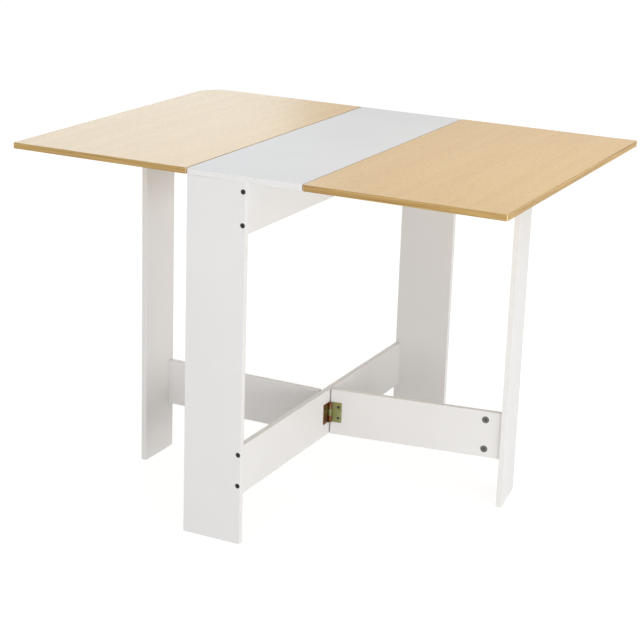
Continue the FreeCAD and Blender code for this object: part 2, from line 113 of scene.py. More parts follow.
# Place, aim and size of each soft light, in metres
SOFT_LIGHTS = {
    "front": ((0.4, -4.2, 0.9), (0.0, 0.0, 0.5), (3.4, 1.8)),
    "side": ((3.85, -1.75, 0.65), (0.0, 0.0, 0.5), (3.5, 1.3)),
    "key": ((0.8, 0.0, 1.6), (0.45, 0.0, 0.735), (1.0, 1.0)),
    "back": ((-2.76, 3.19, 1.72), (-0.3, 0.0, 0.735), (1.88, 0.8)),
}

# Camera: width of its sensor in millimetres and how far it sees in metres
SENSOR_WIDTH = 36.0
SIGHT = 100.0


def shade(red, green, blue):
    """A display colour of 0 to 255 as the linear colour that the sockets take."""
    linear = []
    for value in (red, green, blue):
        share = value / 255
        low = share / 12.92
        high = ((share + 0.055) / 1.055) ** 2.4
        linear.append(low if share <= 0.04045 else high)
    return tuple(linear)


class TableSizes(bpy.types.PropertyGroup):
    """Sizes of the details that the finish adds to the boards and fasteners."""

    board_ease: FloatProperty(
        name="Board ease", description="Rounding along the edges of legs and rails",
        default=0.0006, min=0.0, unit="LENGTH")
    band_ease: FloatProperty(
        name="Band ease", description="Rounding along the outer edges of the top's bands",
        default=0.00035, min=0.0, unit="LENGTH")
    joint_ease: FloatProperty(
        name="Joint ease", description="Chamfer where two edge bands meet at a corner",
        default=0.0012, min=0.0, unit="LENGTH")
    rim_limit: FloatProperty(
        name="Rim limit", description="Edges shorter than this belong to bores and stay crisp",
        default=0.0025, min=0.0, unit="LENGTH")
    right_gate_turn: FloatProperty(
        name="Right gate turn",
        description="Turn of the open right gate from the length of the table",
        default=math.radians(8), subtype="ANGLE")
    left_gate_turn: FloatProperty(
        name="Left gate turn",
        description="Turn of the open left gate from the length of the table",
        default=math.radians(180), subtype="ANGLE")
    turned_faces: IntProperty(
        name="Faces around", description="Faces around each turned fastener", default=48, min=12)


class TableColours(bpy.types.PropertyGroup):
    """Colours of the table's finishes."""

    white_face: FloatVectorProperty(
        name="White face", description="White melamine of the centre board, legs and rails",
        default=shade(234, 233, 232), size=3, subtype="COLOR", min=0.0, max=1.0)
    white_edge: FloatVectorProperty(
        name="White edge", description="Edge band of the white boards",
        default=shade(236, 235, 234), size=3, subtype="COLOR", min=0.0, max=1.0)
    beech_light: FloatVectorProperty(
        name="Beech light", description="Light streaks of the leaves",
        default=shade(227, 189, 123), size=3, subtype="COLOR", min=0.0, max=1.0)
    beech_dark: FloatVectorProperty(
        name="Beech dark", description="Dark streaks of the leaves",
        default=shade(221, 180, 112), size=3, subtype="COLOR", min=0.0, max=1.0)
    beech_fleck: FloatVectorProperty(
        name="Beech fleck", description="Short flecks in the grain of the leaves",
        default=shade(207, 161, 93), size=3, subtype="COLOR", min=0.0, max=1.0)
    band_light: FloatVectorProperty(
        name="Band light", description="Light lines along the edge band of the leaves",
        default=shade(201, 167, 105), size=3, subtype="COLOR", min=0.0, max=1.0)
    band_dark: FloatVectorProperty(
        name="Band dark", description="Dark lines along the edge band of the leaves",
        default=shade(156, 119, 64), size=3, subtype="COLOR", min=0.0, max=1.0)
    # The pale joint colour is a painted highlight on the real chamfer at each corner of a leaf
    band_joint_highlight: FloatVectorProperty(
        name="Band joint", description="Pale line where two edge bands of a leaf meet",
        default=shade(243, 219, 166), size=3, subtype="COLOR", min=0.0, max=1.0)
    zinc_gold: FloatVectorProperty(
        name="Zinc gold", description="Golden olive of the plated hinges",
        default=shade(150, 145, 88), size=3, subtype="COLOR", min=0.0, max=1.0)
    zinc_green: FloatVectorProperty(
        name="Zinc green", description="Green patches of the plated hinges",
        default=shade(141, 145, 92), size=3, subtype="COLOR", min=0.0, max=1.0)
    zinc_pale: FloatVectorProperty(
        name="Zinc pale", description="Pale patches of the plated hinges",
        default=shade(168, 168, 128), size=3, subtype="COLOR", min=0.0, max=1.0)
    # Red brown and brown of the fixed plates: partly the film's own colour, partly a painted
    # reflection of how the film looks from the front
    zinc_red_and_painted_reflection: FloatVectorProperty(
        name="Zinc red", description="Red brown film of the plates on the fixed boards",
        default=shade(136, 86, 60), size=3, subtype="COLOR", min=0.0, max=1.0)
    zinc_brown_and_painted_reflection: FloatVectorProperty(
        name="Zinc brown", description="Brown patches of the plates on the fixed boards",
        default=shade(116, 88, 50), size=3, subtype="COLOR", min=0.0, max=1.0)
    dark_steel: FloatVectorProperty(
        name="Dark steel", description="Blackened steel of the screws",
        default=shade(74, 72, 70), size=3, subtype="COLOR", min=0.0, max=1.0)
    bright_zinc: FloatVectorProperty(
        name="Bright zinc", description="Cast zinc of the cams and steel of the bolts",
        default=shade(130, 130, 126), size=3, subtype="COLOR", min=0.0, max=1.0)
    dowel_wood: FloatVectorProperty(
        name="Dowel wood", description="Bare wood of the dowels",
        default=shade(214, 178, 128), size=3, subtype="COLOR", min=0.0, max=1.0)


class TableStage(bpy.types.PropertyGroup):
    """Camera and light of the studio."""

    camera_place: FloatVectorProperty(
        name="Camera place", description="Where the camera stands",
        default=(1.4849, -3.0665, 1.4358), size=3, subtype="TRANSLATION", unit="LENGTH")
    camera_heading: FloatProperty(
        name="Heading", description="Turn of the view to the left of the table's depth",
        default=math.radians(25.931), subtype="ANGLE")
    camera_dip: FloatProperty(
        name="Dip", description="How far the camera looks down",
        default=math.radians(16.512), subtype="ANGLE")
    camera_roll: FloatProperty(
        name="Roll", description="Turn of the camera about its own view",
        default=math.radians(2.0), subtype="ANGLE")
    camera_lens: FloatProperty(
        name="Lens", description="Focal length in millimetres", default=96.5, min=1.0)
    camera_shift: FloatVectorProperty(
        name="Shift", description="Shift of the frame", default=(-0.0116, -0.05), size=2)
    world_level: FloatProperty(
        name="World level", description="Even light from all round", default=0.63, min=0.0)
    front_power: FloatProperty(
        name="Front power", description="Watts of the low soft light in front",
        default=26.5, min=0.0)
    side_power: FloatProperty(
        name="Side power", description="Watts of the low soft light at the right",
        default=64.0, min=0.0)
    key_power: FloatProperty(
        name="Key power", description="Watts of the soft light above the right leaf",
        default=3.5, min=0.0)
    back_power: FloatProperty(
        name="Back power", description="Watts of the soft light that the left leaf mirrors",
        default=10.0, min=0.0)
    back_colour: FloatVectorProperty(
        name="Back colour", description="Cool daylight of the light that the left leaf mirrors",
        default=(0.66, 0.87, 1.0), size=3, subtype="COLOR", min=0.0, max=1.0)


class TableSettings(bpy.types.PropertyGroup):
    """All settings of the folding table."""

    sizes: PointerProperty(type=TableSizes)
    colours: PointerProperty(type=TableColours)
    stage: PointerProperty(type=TableStage)


def settings():
    """The table's settings in the current scene."""
    return bpy.context.scene.folding_table


def opaque(colour):
    """A colour with full alpha, as colour sockets take it."""
    return (colour[0], colour[1], colour[2], 1.0)


# Finishes

def start_finish(name):
    """A new material with its shader, and the object's own coordinates."""
    material = bpy.data.materials.new(f"{name}_finish")
    material.use_nodes = True
    tree = material.node_tree
    tree.nodes.clear()
    output = tree.nodes.new("ShaderNodeOutputMaterial")
    shader = tree.nodes.new("ShaderNodeBsdfPrincipled")
    coordinates = tree.nodes.new("ShaderNodeTexCoord")
    tree.links.new(shader.outputs["BSDF"], output.inputs["Surface"])
    return material, tree, shader, coordinates.outputs["Object"]


def stretched_noise(tree, place, stretch, detail, offset=(0.0, 0.0, 0.0)):
    """Noise whose cells are one over the stretch, in metres, along each axis."""
    mapping = tree.nodes.new("ShaderNodeMapping")
    mapping.inputs["Location"].default_value = offset
    mapping.inputs["Scale"].default_value = stretch
    noise = tree.nodes.new("ShaderNodeTexNoise")
    noise.inputs["Scale"].default_value = 1.0
    noise.inputs["Detail"].default_value = detail
    tree.links.new(place, mapping.inputs["Vector"])
    tree.links.new(mapping.outputs["Vector"], noise.inputs["Vector"])
    return noise.outputs[0]


def colour_stops(tree, value, stops):
    """A colour that follows a value through the given stops."""
    ramp = tree.nodes.new("ShaderNodeValToRGB")
    elements = ramp.color_ramp.elements
    while len(elements) < len(stops):
        elements.new(0.5)
    for element, (position, colour) in zip(elements, stops):
        element.position = position
        element.color = opaque(colour)
    tree.links.new(value, ramp.inputs["Fac"])
    return ramp.outputs["Color"]


def spread(tree, value, low, high):
    """A noise value brought from its middle range to low and high."""
    ranged = tree.nodes.new("ShaderNodeMapRange")
    ranged.inputs["From Min"].default_value = NOISE_LOW
    ranged.inputs["From Max"].default_value = NOISE_HIGH
    ranged.inputs["To Min"].default_value = low
    ranged.inputs["To Max"].default_value = high
    tree.links.new(value, ranged.inputs["Value"])
    return ranged.outputs["Result"]


def mixed(tree, share, first, second):
    """A colour socket mixed with a plain colour by a share."""
    mix = tree.nodes.new("ShaderNodeMix")
    mix.data_type = "RGBA"
    tree.links.new(share, mix.inputs[MIX_SHARE])
    tree.links.new(first, mix.inputs[MIX_FIRST])
    mix.inputs[MIX_SECOND].default_value = opaque(second)
    return mix.outputs[MIX_RESULT]


def raised(tree, shader, height, strength, distance):
    """Bump from a height onto the shader's normal."""
    bump = tree.nodes.new("ShaderNodeBump")
    bump.inputs["Strength"].default_value = strength
    bump.inputs["Distance"].default_value = distance
    tree.links.new(height, bump.inputs["Height"])
    tree.links.new(bump.outputs["Normal"], shader.inputs["Normal"])


def dimmed(colour, share):
    """A colour with its light cut by a share."""
    return tuple(channel * (1.0 - share) for channel in colour)


def shaded_tone(tree, grain, colour, darker, low, high):
    """A colour that is darker by a share where the grain is low."""
    return colour_stops(tree, grain, ((low, dimmed(colour, darker)), (high, tuple(colour))))


def dress(tree, shader, tone, grain, low, high):
    """Gives a shader its colour, and a roughness that follows a grain from low to high."""
    tree.links.new(tone, shader.inputs["Base Color"])
    tree.links.new(spread(tree, grain, low, high), shader.inputs["Roughness"])


def white_melamine():
    """Satin white melamine with a faint pressed pore and slight cloudiness."""
    colour = settings().colours.white_face
    material, tree, shader, place = start_finish("white_melamine")
    cloud = stretched_noise(tree, place, stretch=(7.0, 7.0, 7.0), detail=2.0)
    tone = shaded_tone(tree, cloud, colour, darker=0.025, low=0.3, high=0.7)
    peel = stretched_noise(tree, place, stretch=(900.0, 900.0, 900.0), detail=2.0)
    dress(tree, shader, tone, peel, low=0.42, high=0.52)
    shader.inputs["Specular IOR Level"].default_value = 0.35
    raised(tree, shader, peel, strength=0.12, distance=0.0002)
    return material


def white_edge_band():
    """Smooth white edge band, slightly uneven from its glue and trimming."""
    colour = settings().colours.white_edge
    material, tree, shader, place = start_finish("white_edge_band")
    patches = stretched_noise(tree, place, stretch=(60.0, 60.0, 60.0), detail=2.0)
    tone = shaded_tone(tree, patches, colour, darker=0.03, low=0.3, high=0.7)
    dress(tree, shader, tone, patches, low=0.34, high=0.44)
    shader.inputs["Specular IOR Level"].default_value = 0.4
    raised(tree, shader, patches, strength=0.08, distance=0.0003)
    return material


def beech_melamine():
    """Printed beech with streaks and short flecks along the depth of the table."""
    colours = settings().colours
    material, tree, shader, place = start_finish("beech_melamine")
    streak = stretched_noise(
        tree, place, stretch=(38.0, 1.6, 38.0), detail=5.0, offset=(3.1, 0.7, 0.0))
    print_tone = colour_stops(
        tree, streak, ((0.32, tuple(colours.beech_dark)), (0.68, tuple(colours.beech_light))))
    fleck = stretched_noise(
        tree, place, stretch=(520.0, 48.0, 520.0), detail=1.0, offset=(0.0, 5.3, 0.0))
    fleck_share = tree.nodes.new("ShaderNodeClamp")
    fleck_share.inputs["Max"].default_value = 0.4
    tree.links.new(spread(tree, fleck, low=-0.9, high=0.75), fleck_share.inputs["Value"])
    tone = mixed(tree, fleck_share.outputs["Result"], print_tone, colours.beech_fleck)
    pore = stretched_noise(tree, place, stretch=(900.0, 70.0, 900.0), detail=2.0)
    dress(tree, shader, tone, pore, low=0.27, high=0.37)
    shader.inputs["Specular IOR Level"].default_value = 0.5
    raised(tree, shader, pore, strength=0.1, distance=0.0002)
    return material


def beech_edge_band():
    """Edge band of the leaves with light and dark lines along the edge."""
    colours = settings().colours
    material, tree, shader, place = start_finish("beech_edge_band")
    lines = stretched_noise(tree, place, stretch=(5.0, 5.0, 620.0), detail=4.0)
    tone = colour_stops(
        tree, lines, ((0.34, tuple(colours.band_dark)), (0.6, tuple(colours.band_light))))
    dress(tree, shader, tone, lines, low=0.38, high=0.5)
    shader.inputs["Specular IOR Level"].default_value = 0.35
    raised(tree, shader, lines, strength=0.15, distance=0.0002)
    return material


def band_joint_highlight():
    """Pale painted highlight on the chamfered joint of the edge bands at the corners of the
    leaves.
    """
    colour = settings().colours.band_joint_highlight
    material, tree, shader, place = start_finish("band_joint_highlight")
    smear = stretched_noise(tree, place, stretch=(300.0, 300.0, 300.0), detail=2.0)
    tone = shaded_tone(tree, smear, colour, darker=0.15, low=0.3, high=0.7)
    dress(tree, shader, tone, smear, low=0.4, high=0.55)
    return material


def zinc_film(name, stops):
    """Passivated zinc, whose film shifts in colour over a plate."""
    material, tree, shader, place = start_finish(name)
    film = stretched_noise(
        tree, place, stretch=(55.0, 55.0, 35.0), detail=3.0, offset=(0.35, 0.2, 0.0))
    scuff = stretched_noise(tree, place, stretch=(900.0, 900.0, 260.0), detail=3.0)
    dress(tree, shader, colour_stops(tree, film, stops), scuff, low=0.3, high=0.48)
    shader.inputs["Metallic"].default_value = 1.0
    raised(tree, shader, scuff, strength=0.15, distance=0.0001)
    return material


def yellow_zinc_steel():
    """Yellow zinc from gold over green to pale."""
    colours = settings().colours
    return zinc_film("yellow_zinc_steel", (
        (0.34, tuple(colours.zinc_gold)),
        (0.5, tuple(colours.zinc_green)),
        (0.66, tuple(colours.zinc_pale))))


def red_zinc_steel_painted_reflection():
    """Yellow zinc with a red brown and brown film, partly its own colour and partly a painted
    reflection: the fixed plates keep the colour that the film shows from the front.
    """
    colours = settings().colours
    return zinc_film("red_zinc_steel_painted_reflection", (
        (0.34, tuple(colours.zinc_brown_and_painted_reflection)),
        (0.48, tuple(colours.zinc_red_and_painted_reflection)),
        (0.76, tuple(colours.zinc_gold))))


def dark_screw_steel():
    """Blackened steel with worn, slightly brighter patches."""
    colour = settings().colours.dark_steel
    material, tree, shader, place = start_finish("dark_screw_steel")
    wear = stretched_noise(tree, place, stretch=(420.0, 420.0, 420.0), detail=3.0)
    tone = shaded_tone(tree, wear, colour, darker=0.4, low=0.35, high=0.65)
    dress(tree, shader, tone, wear, low=0.3, high=0.5)
    shader.inputs["Metallic"].default_value = 0.85
    raised(tree, shader, wear, strength=0.1, distance=0.0001)
    return material


def bright_zinc():
    """Die cast zinc with a grainy skin."""
    colour = settings().colours.bright_zinc
    material, tree, shader, place = start_finish("bright_zinc")
    skin = stretched_noise(tree, place, stretch=(600.0, 600.0, 600.0), detail=3.0)
    tone = shaded_tone(tree, skin, colour, darker=0.3, low=0.35, high=0.65)
    dress(tree, shader, tone, skin, low=0.32, high=0.5)
    shader.inputs["Metallic"].default_value = 1.0
    raised(tree, shader, skin, strength=0.15, distance=0.0001)
    return material


def dowel_wood():
    """Bare dowel wood with a fine upright grain."""
    colour = settings().colours.dowel_wood
    material, tree, shader, place = start_finish("dowel_wood")
    grain = stretched_noise(tree, place, stretch=(700.0, 700.0, 90.0), detail=4.0)
    tone = shaded_tone(tree, grain, colour, darker=0.3, low=0.32, high=0.66)
    dress(tree, shader, tone, grain, low=0.6, high=0.75)
    raised(tree, shader, grain, strength=0.2, distance=0.0002)
    return material


FINISHES = {
    "white_melamine": white_melamine,
    "white_edge_band": white_edge_band,
    "beech_melamine": beech_melamine,
    "beech_edge_band": beech_edge_band,
    "band_joint_highlight": band_joint_highlight,
    "yellow_zinc_steel": yellow_zinc_steel,
    "red_zinc_steel_painted_reflection": red_zinc_steel_painted_reflection,
    "dark_screw_steel": dark_screw_steel,
    "bright_zinc": bright_zinc,
    "dowel_wood": dowel_wood,
}


def finish(name):
    """The named finish, made when it is first asked for."""
    return bpy.data.materials.get(f"{name}_finish") or FINISHES[name]()


# Boards

def coat_node(node, finish_name):
    """Gives a kept CAD node its finish."""
    materials = frame["nodes"][node].data.materials
    materials.clear()
    materials.append(finish(finish_name))


def add_piece(name, mesh, node):
    """Adds a mesh as a piece that stands for a CAD node and moves with its body."""
    if not mesh.polygons:
        raise RuntimeError(f"{name} has no faces")
    mesh.name = name
    for polygon in mesh.polygons:
        polygon.use_smooth = True
    mesh.set_sharp_from_angle(angle=SMOOTH_LIMIT)
    piece = bpy.data.objects.new(name, mesh)
    bpy.context.scene.collection.objects.link(piece)
    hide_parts(node)
    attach(piece, frame["nodes"][node]["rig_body"])


def welded_copy(node):
    """A welded copy of a CAD node's faces, without the normals that were stored with them."""
    source = frame["nodes"][node].data
    shape = bmesh.new()
    corners = [shape.verts.new(vertex.co) for vertex in source.vertices]
    for polygon in source.polygons:
        shape.faces.new([corners[index] for index in polygon.vertices])
    bmesh.ops.remove_doubles(shape, verts=shape.verts[:], dist=WELD)
    return shape


def flat_faced_copy(node):
    """A welded copy of a CAD node with the triangles of each flat face joined."""
    shape = welded_copy(node)
    bmesh.ops.dissolve_limit(
        shape, angle_limit=FLAT_JOIN, use_dissolve_boundaries=False,
        verts=shape.verts[:], edges=shape.edges[:])
    return shape


def sharp_edges(shape, rim_limit):
    """The long corners of a board, without the rims of its bores."""
    return [
        edge for edge in shape.edges
        if len(edge.link_faces) == 2
        and edge.calc_length() > rim_limit
        and edge.calc_face_angle() > SHARP_CORNER
    ]


def box_middle(points):
    """The middle of the box around points."""
    low = Vector([min(point[axis] for point in points) for axis in range(3)])
    high = Vector([max(point[axis] for point in points) for axis in range(3)])
    return (low + high) / 2


def outer_edges(shape, edges):
    """Those edges that lie on the outside of a ring."""
    middle = box_middle([vertex.co for vertex in shape.verts])
    kept = []
    for edge in edges:
        centre = (edge.verts[0].co + edge.verts[1].co) / 2
        sides = [face for face in edge.link_faces if abs(face.normal.z) < LEVEL]
        if sides and all((centre - middle).dot(face.normal) > 0 for face in sides):
            kept.append(edge)
    return kept


def ease(shape, edges, width):
    """Rounds edges by a width and gives the new faces."""
    eased = bmesh.ops.bevel(
        shape, geom=edges, offset=width, offset_type="OFFSET", segments=EASE_STEPS,
        profile=EASE_FULLNESS, affect="EDGES", clamp_overlap=False)
    return eased["faces"]


def finished_mesh(name, shape, finish_names):
    """A shape as a mesh of triangles with its finishes."""
    bmesh.ops.triangulate(shape, faces=shape.faces[:])
    mesh = bpy.data.meshes.new(name)
    shape.to_mesh(mesh)
    shape.free()
    for finish_name in finish_names:
        mesh.materials.append(finish(finish_name))
    return mesh


def eased_board(name, node, across):
    """A white board with eased edges: melamine on its two faces, band on its edges."""
    sizes = settings().sizes
    shape = flat_faced_copy(node)
    edges = sharp_edges(shape, sizes.rim_limit)
    if not edges:
        raise RuntimeError(f"{node} has no edges to ease")
    ease(shape, edges, sizes.board_ease)
    shape.normal_update()
    for face in shape.faces:
        face.material_index = 0 if abs(face.normal.dot(across)) > ALIGNED else 1
    mesh = finished_mesh(name, shape, ("white_melamine", "white_edge_band"))
    add_piece(name, mesh, node)


def upright(edge):
    """Whether an edge stands upright."""
    along = edge.verts[0].co - edge.verts[1].co
    return abs(along.z) > ALIGNED * along.length


def eased_band(name, node, finish_name, joint_name):
    """An edge band with its joints at the corners and its outer edges eased."""
    sizes = settings().sizes
    shape = flat_faced_copy(node)
    corners = [edge for edge in outer_edges(shape, sharp_edges(shape, 0.0)) if upright(edge)]
    if not corners:
        raise RuntimeError(f"{node} has no corner where its bands meet")
    # Chamfer faces take the joint finish, which on the leaves is a painted highlight
    for face in ease(shape, corners, sizes.joint_ease):
        face.material_index = 1
    shape.normal_update()
    ease(shape, outer_edges(shape, sharp_edges(shape, 0.0)), sizes.band_ease)
    mesh = finished_mesh(name, shape, (finish_name, joint_name))
    add_piece(name, mesh, node)


# Turned fasteners

def calculate(tree, operation, first, second=None, third=None):
    """One step of arithmetic on sockets or numbers."""
    step = tree.nodes.new("ShaderNodeMath")
    step.operation = operation
    for value, socket in zip((first, second, third), step.inputs):
        if value is None:
            continue
        if isinstance(value, bpy.types.NodeSocket):
            tree.links.new(value, socket)
        else:
            socket.default_value = value
    return step.outputs[0]


def hexagon_drive(tree, angle):
    """Radius of a hexagon, as a share of its corner radius."""
    turned = calculate(tree, "FLOORED_MODULO", angle, math.pi / 3)
    off_flat = calculate(tree, "SUBTRACT", turned, math.pi / 6)
    return calculate(tree, "DIVIDE", math.cos(math.pi / 6), calculate(tree, "COSINE", off_flat))


def cross_drive(tree, angle):
    """Radius of a cross with four arms, as a share of an arm's length."""
    shifted = calculate(tree, "ADD", angle, math.pi / 4)
    turned = calculate(tree, "FLOORED_MODULO", shifted, math.pi / 2)
    off_arm = calculate(tree, "ABSOLUTE", calculate(tree, "SUBTRACT", turned, math.pi / 4))
    slope = calculate(tree, "MAXIMUM", calculate(tree, "SINE", off_arm), CROSS_LEAST_SLOPE)
    return calculate(tree, "MINIMUM", calculate(tree, "DIVIDE", CROSS_ARM, slope), 1.0)


def fluted_drive(tree, angle):
    """Radius of a fluted rod, as a share of its outer radius."""
    wave = calculate(tree, "SINE", calculate(tree, "MULTIPLY", angle, FLUTES / 2))
    cut = calculate(tree, "MULTIPLY", calculate(tree, "ABSOLUTE", wave), FLUTE_DEPTH)
    return calculate(tree, "SUBTRACT", 1.0, cut)


DRIVES = {"hexagon": hexagon_drive, "cross": cross_drive, "fluted": fluted_drive}


FASTENER_INPUTS = (
    ("Places", "NodeSocketGeometry"),
    ("Head radius", "NodeSocketFloat"),
    ("Length", "NodeSocketFloat"),
    ("Faces around", "NodeSocketInt"),
    ("Seed", "NodeSocketInt"),
)


def turned_profile(tree, given, stations, drive):
    """Nodes that turn a profile about the upright axis, with its outer face at the origin."""
    link = tree.links.new
    grid = tree.nodes.new("GeometryNodeMeshGrid")
    grid.inputs["Size X"].default_value = 1.0
    grid.inputs["Size Y"].default_value = 1.0
    link(calculate(tree, "ADD", given["Faces around"], 1.0), grid.inputs["Vertices X"])
    grid.inputs["Vertices Y"].default_value = len(stations)

    position = tree.nodes.new("GeometryNodeInputPosition")
    parts = tree.nodes.new("ShaderNodeSeparateXYZ")
    link(position.outputs[0], parts.inputs[0])
    around = calculate(tree, "ADD", parts.outputs["X"], 0.5)
    angle = calculate(tree, "MULTIPLY", around, math.tau)
    along = calculate(tree, "ADD", parts.outputs["Y"], 0.5)
    down = calculate(tree, "MULTIPLY", along, len(stations) - 1.0)
    station = tree.nodes.new("GeometryNodeIndexSwitch")
    station.data_type = "VECTOR"
    while len(station.index_switch_items) < len(stations):
        station.index_switch_items.new()
    for number, values in enumerate(stations, start=1):
        station.inputs[number].default_value = values
    link(calculate(tree, "ROUND", down), station.inputs["Index"])
    share = tree.nodes.new("ShaderNodeSeparateXYZ")
    link(station.outputs[0], share.inputs[0])

    radius = calculate(tree, "MULTIPLY", given["Head radius"], share.outputs["X"])
    if drive:
        pull = calculate(tree, "SUBTRACT", DRIVES[drive](tree, angle), 1.0)
        shaped = calculate(tree, "MULTIPLY_ADD", pull, share.outputs["Y"], 1.0)
        radius = calculate(tree, "MULTIPLY", radius, shaped)
    turned = tree.nodes.new("ShaderNodeCombineXYZ")
    for axis, wave in (("X", "COSINE"), ("Y", "SINE")):
        reach = calculate(tree, "MULTIPLY", radius, calculate(tree, wave, angle))
        link(reach, turned.inputs[axis])
    depth = calculate(tree, "MULTIPLY", given["Length"], share.outputs["Z"])
    link(calculate(tree, "MULTIPLY", depth, -1.0), turned.inputs["Z"])
    lathe = tree.nodes.new("GeometryNodeSetPosition")
    link(grid.outputs["Mesh"], lathe.inputs["Geometry"])
    link(turned.outputs[0], lathe.inputs["Position"])
    weld = tree.nodes.new("GeometryNodeMergeByDistance")
    link(lathe.outputs[0], weld.inputs["Geometry"])
    weld.inputs["Distance"].default_value = WELD
    return weld.outputs[0]


def driven_turn(tree, given):
    """Nodes for the turn of each fastener: along its aim, and about it by its seed."""
    link = tree.links.new
    aim = tree.nodes.new("GeometryNodeInputNamedAttribute")
    aim.data_type = "FLOAT_VECTOR"
    aim.inputs["Name"].default_value = "aim"
    align = tree.nodes.new("FunctionNodeAlignRotationToVector")
    align.axis = "Z"
    link(aim.outputs["Attribute"], align.inputs["Vector"])
    spin = tree.nodes.new("FunctionNodeRandomValue")
    spin.data_type = "FLOAT"
    spin.inputs[RANDOM_HIGHEST].default_value = math.tau
    link(given["Seed"], spin.inputs["Seed"])
    about = tree.nodes.new("FunctionNodeAxisAngleToRotation")
    link(spin.outputs[RANDOM_RESULT], about.inputs["Angle"])
    turn = tree.nodes.new("FunctionNodeRotateRotation")
    turn.rotation_space = "LOCAL"
    link(align.outputs[0], turn.inputs["Rotation"])
    link(about.outputs[0], turn.inputs["Rotate By"])
    return turn.outputs[0]


def fastener_tree(name, stations, drive):
    """A tree that turns a profile and sets it on points, each along its aim.

    A station is a radius as a share of the head's radius, how far the drive shapes it,
    and a depth as a share of the fastener's length.
    """
    tree = bpy.data.node_groups.new(name, "GeometryNodeTree")
    for label, kind in FASTENER_INPUTS:
        tree.interface.new_socket(label, in_out="INPUT", socket_type=kind)
    tree.interface.new_socket("Fasteners", in_out="OUTPUT", socket_type="NodeSocketGeometry")
    given = tree.nodes.new("NodeGroupInput").outputs
    result = tree.nodes.new("NodeGroupOutput")
    link = tree.links.new
    instances = tree.nodes.new("GeometryNodeInstanceOnPoints")
    link(given["Places"], instances.inputs["Points"])
    link(turned_profile(tree, given, stations, drive), instances.inputs["Instance"])
    link(driven_turn(tree, given), instances.inputs["Rotation"])
    realize = tree.nodes.new("GeometryNodeRealizeInstances")
    link(instances.outputs[0], realize.inputs["Geometry"])
    link(realize.outputs[0], result.inputs["Fasteners"])
    return tree


def loose_solids(node):
    """The corners of each separate solid in a CAD node."""
    shape = welded_copy(node)
    seen = set()
    solids = []
    for first in shape.verts:
        if first in seen:
            continue
        seen.add(first)
        waiting = [first]
        corners = []
        while waiting:
            vertex = waiting.pop()
            corners.append(vertex.co.copy())
            for edge in vertex.link_edges:
                other = edge.other_vert(vertex)
                if other not in seen:
                    seen.add(other)
                    waiting.append(other)
        solids.append(corners)
    shape.free()
    return solids


def measured(corners, aim):
    """Where a fastener's outer face is, with its radius and length along its aim."""
    along = [corner.dot(aim) for corner in corners]
    flat = [corner - aim * corner.dot(aim) for corner in corners]
    middle = box_middle(flat)
    radius = max((point - middle).length for point in flat)
    return middle + aim * max(along), radius, max(along) - min(along)


def shares(profile, radius, length):
    """A profile in millimetres as shares of the fastener's radius and length."""
    return [
        (across * MILLIMETRE / radius, drive, depth * MILLIMETRE / length)
        for across, drive, depth in profile
    ]


def turned_mesh(name, tree, places, aims, values):
    """The mesh that a tree makes at places with aims, from its named values."""
    points = bpy.data.meshes.new(f"{name}_places")
    points.from_pydata(places, [], [])
    facing = points.attributes.new("aim", "FLOAT_VECTOR", "POINT")
    for entry, aim in zip(facing.data, aims):
        entry.vector = aim
    carrier = bpy.data.objects.new(f"{name}_places", points)
    bpy.context.scene.collection.objects.link(carrier)
    modifier = carrier.modifiers.new("turning", "NODES")
    modifier.node_group = tree
    for item in tree.interface.items_tree:
        if item.in_out == "INPUT" and item.name in values:
            modifier[item.identifier] = values[item.name]
    graph = bpy.context.evaluated_depsgraph_get()
    mesh = bpy.data.meshes.new_from_object(carrier.evaluated_get(graph), depsgraph=graph)
    bpy.data.objects.remove(carrier)
    return mesh


def clean(mesh):
    """Welds a mesh, drops its empty faces and turns all faces outwards."""
    shape = bmesh.new()
    shape.from_mesh(mesh)
    bmesh.ops.remove_doubles(shape, verts=shape.verts[:], dist=WELD)
    bmesh.ops.dissolve_degenerate(shape, edges=shape.edges[:], dist=WELD)
    bmesh.ops.recalc_face_normals(shape, faces=shape.faces[:])
    shape.to_mesh(mesh)
    shape.free()


def turned_fasteners(name, node, aim_at, profile, drive, finish_name, seed):
    """Replaces a node's fasteners by turned ones at the same places and of the same size.

    aim_at gives the way that a fastener at a place faces.
    """
    solids = []
    aims = []
    for corners in loose_solids(node):
        aims.append(Vector(aim_at(corners[0])).normalized())
        solids.append(measured(corners, aims[-1]))
    if not solids:
        raise RuntimeError(f"{node} holds no fastener")
    places, radii, lengths = zip(*solids)
    radius = max(radii)
    length = max(lengths)
    stations = shares(profile(length / MILLIMETRE), radius, length)
    tree = fastener_tree(f"{name}_turning", stations, drive)
    mesh = turned_mesh(name, tree, places, aims, {
        "Head radius": radius,
        "Length": length,
        "Faces around": settings().sizes.turned_faces,
        "Seed": seed,
    })
    clean(mesh)
    mesh.materials.clear()
    mesh.materials.append(finish(finish_name))
    add_piece(name, mesh, node)


def thread(start, end, core, crest, pitch):
    """Stations of a thread's ridges from start to end, in millimetres."""
    rows = []
    depth = start
    while depth + pitch < end:
        rows.append((core, 0.0, depth))
        rows.append((crest, 0.0, depth + pitch / 2))
        depth += pitch
    return rows


def socket_screw_profile(length):
    """Countersunk screw with a hexagon socket, in millimetres."""
    head = [
        (0.0, 0.0, 2.3), (0.6, 0.0, 2.1), (2.2, 1.0, 1.9), (2.3, 1.0, 0.25), (2.65, 0.6, 0.02),
        (4.7, 0.0, 0.0), (4.95, 0.0, 0.1), (5.0, 0.0, 0.3), (5.0, 0.0, 2.3), (4.8, 0.0, 2.5),
        (3.5, 0.0, 2.5), (3.5, 0.0, 12.0)]
    tip = [(1.9, 0.0, length - 2.0), (1.0, 0.0, length - 0.3), (0.0, 0.0, length)]
    return head + thread(12.0, length - 2.0, core=2.0, crest=2.5, pitch=3.0) + tip


